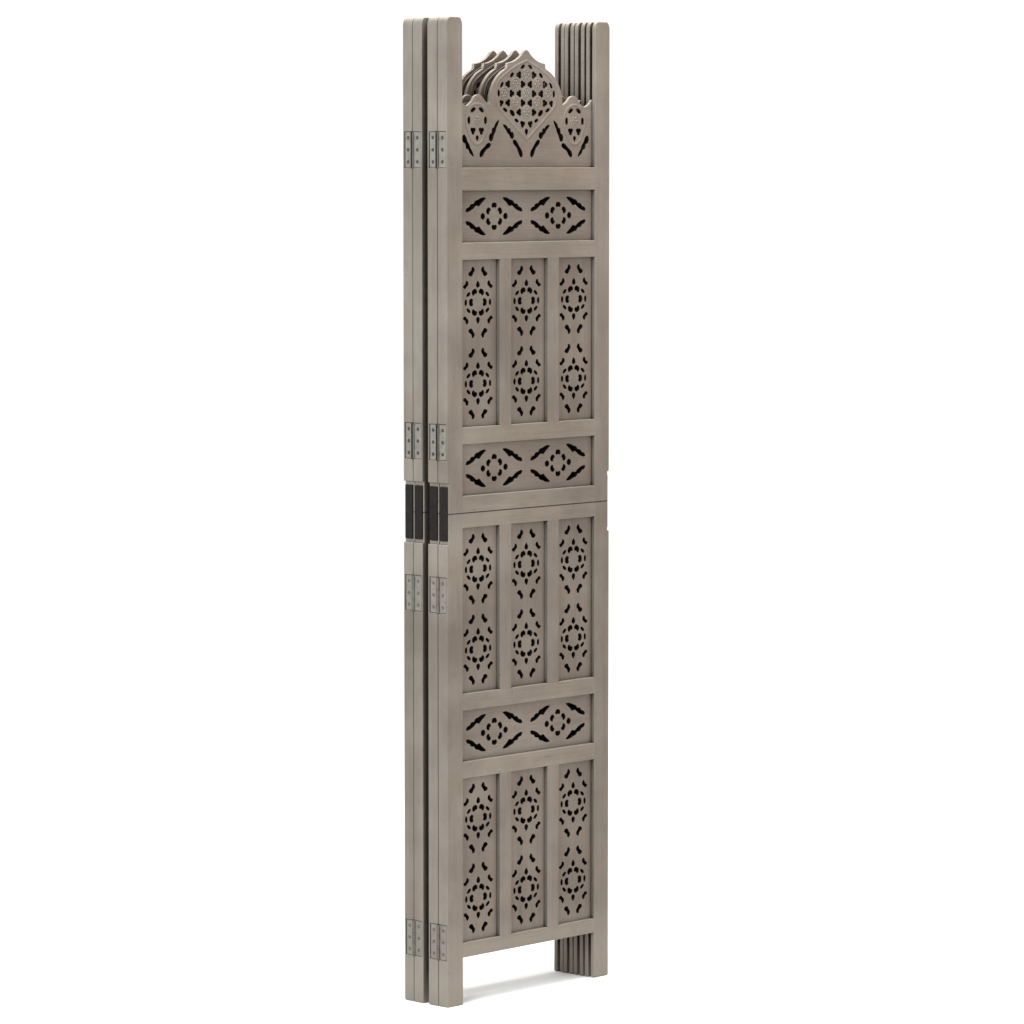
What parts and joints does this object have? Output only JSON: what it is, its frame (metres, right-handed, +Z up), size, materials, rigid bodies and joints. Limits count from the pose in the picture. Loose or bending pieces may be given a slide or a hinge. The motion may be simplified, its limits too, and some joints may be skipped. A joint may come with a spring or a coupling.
{
  "type": "carved folding screen",
  "caption": "Carved wooden folding screen: pierced boards in grooved frames with an arched crest, hinged along alternate edges so that the panels open in a zigzag.",
  "frame": {"origin": "on the floor, in the middle of the folded screen's outline", "axes": "+Z up, +X along the width of the front panel, +Y from the front panel to the back one"},
  "size_m": [0.4054, 0.1028, 1.65],
  "materials": {
    "frame_wood": "matte",
    "pierced_boards": "matte",
    "hinge_steel": "matte",
    "plate_steel": "satin"
  },
  "bodies": {
    "panel_a": {"panel_a_left_stile_lower": "frame_wood", "panel_a_left_stile_upper": "frame_wood", "panel_a_right_stile_lower": "frame_wood", "panel_a_right_stile_upper": "frame_wood", "panel_a_lower_rails": "frame_wood", "panel_a_upper_rails": "frame_wood", "panel_a_top_rail": "frame_wood", "panel_a_muntins": "frame_wood", "panel_a_crest_board": "pierced_boards", "panel_a_frieze_boards": "pierced_boards", "panel_a_upright_boards": "pierced_boards", "panel_a_joining_plates": "plate_steel", "hinge_ab_front_flaps": "hinge_steel", "hinge_ab_pins": "hinge_steel"},
    "panel_b": {"panel_b_left_stile_lower": "frame_wood", "panel_b_left_stile_upper": "frame_wood", "panel_b_right_stile_lower": "frame_wood", "panel_b_right_stile_upper": "frame_wood", "panel_b_lower_rails": "frame_wood", "panel_b_upper_rails": "frame_wood", "panel_b_top_rail": "frame_wood", "panel_b_muntins": "frame_wood", "panel_b_crest_board": "pierced_boards", "panel_b_frieze_boards": "pierced_boards", "panel_b_upright_boards": "pierced_boards", "panel_b_joining_plates": "plate_steel", "hinge_ab_back_flaps": "hinge_steel", "hinge_bc_front_flaps": "hinge_steel", "hinge_bc_pins": "hinge_steel"},
    "panel_c": {"panel_c_left_stile_lower": "frame_wood", "panel_c_left_stile_upper": "frame_wood", "panel_c_right_stile_lower": "frame_wood", "panel_c_right_stile_upper": "frame_wood", "panel_c_lower_rails": "frame_wood", "panel_c_upper_rails": "frame_wood", "panel_c_top_rail": "frame_wood", "panel_c_muntins": "frame_wood", "panel_c_crest_board": "pierced_boards", "panel_c_frieze_boards": "pierced_boards", "panel_c_upright_boards": "pierced_boards", "panel_c_joining_plates": "plate_steel", "hinge_bc_back_flaps": "hinge_steel", "hinge_cd_front_flaps": "hinge_steel", "hinge_cd_pins": "hinge_steel"},
    "panel_d": {"panel_d_left_stile_lower": "frame_wood", "panel_d_left_stile_upper": "frame_wood", "panel_d_right_stile_lower": "frame_wood", "panel_d_right_stile_upper": "frame_wood", "panel_d_lower_rails": "frame_wood", "panel_d_upper_rails": "frame_wood", "panel_d_top_rail": "frame_wood", "panel_d_muntins": "frame_wood", "panel_d_crest_board": "pierced_boards", "panel_d_frieze_boards": "pierced_boards", "panel_d_upright_boards": "pierced_boards", "panel_d_joining_plates": "plate_steel", "hinge_cd_back_flaps": "hinge_steel"}
  },
  "joints": [
    {"name": "panel_a_fold", "type": "hinge", "parent": "panel_b", "child": "panel_a", "pos_m": [-0.2004, -0.02894, 0], "axis": [0, 0, -1], "range_deg": [-0.5, 179.5]},
    {"name": "panel_c_fold", "type": "hinge", "parent": "panel_b", "child": "panel_c", "pos_m": [0.20038, -0.00244, 0], "axis": [0, 0, -1], "range_deg": [-1.7, 178.3]},
    {"name": "panel_d_fold", "type": "hinge", "parent": "panel_c", "child": "panel_d", "pos_m": [-0.20005, 0.02895, 0], "axis": [0, 0, 1], "range_deg": [0, 180]}
  ]
}
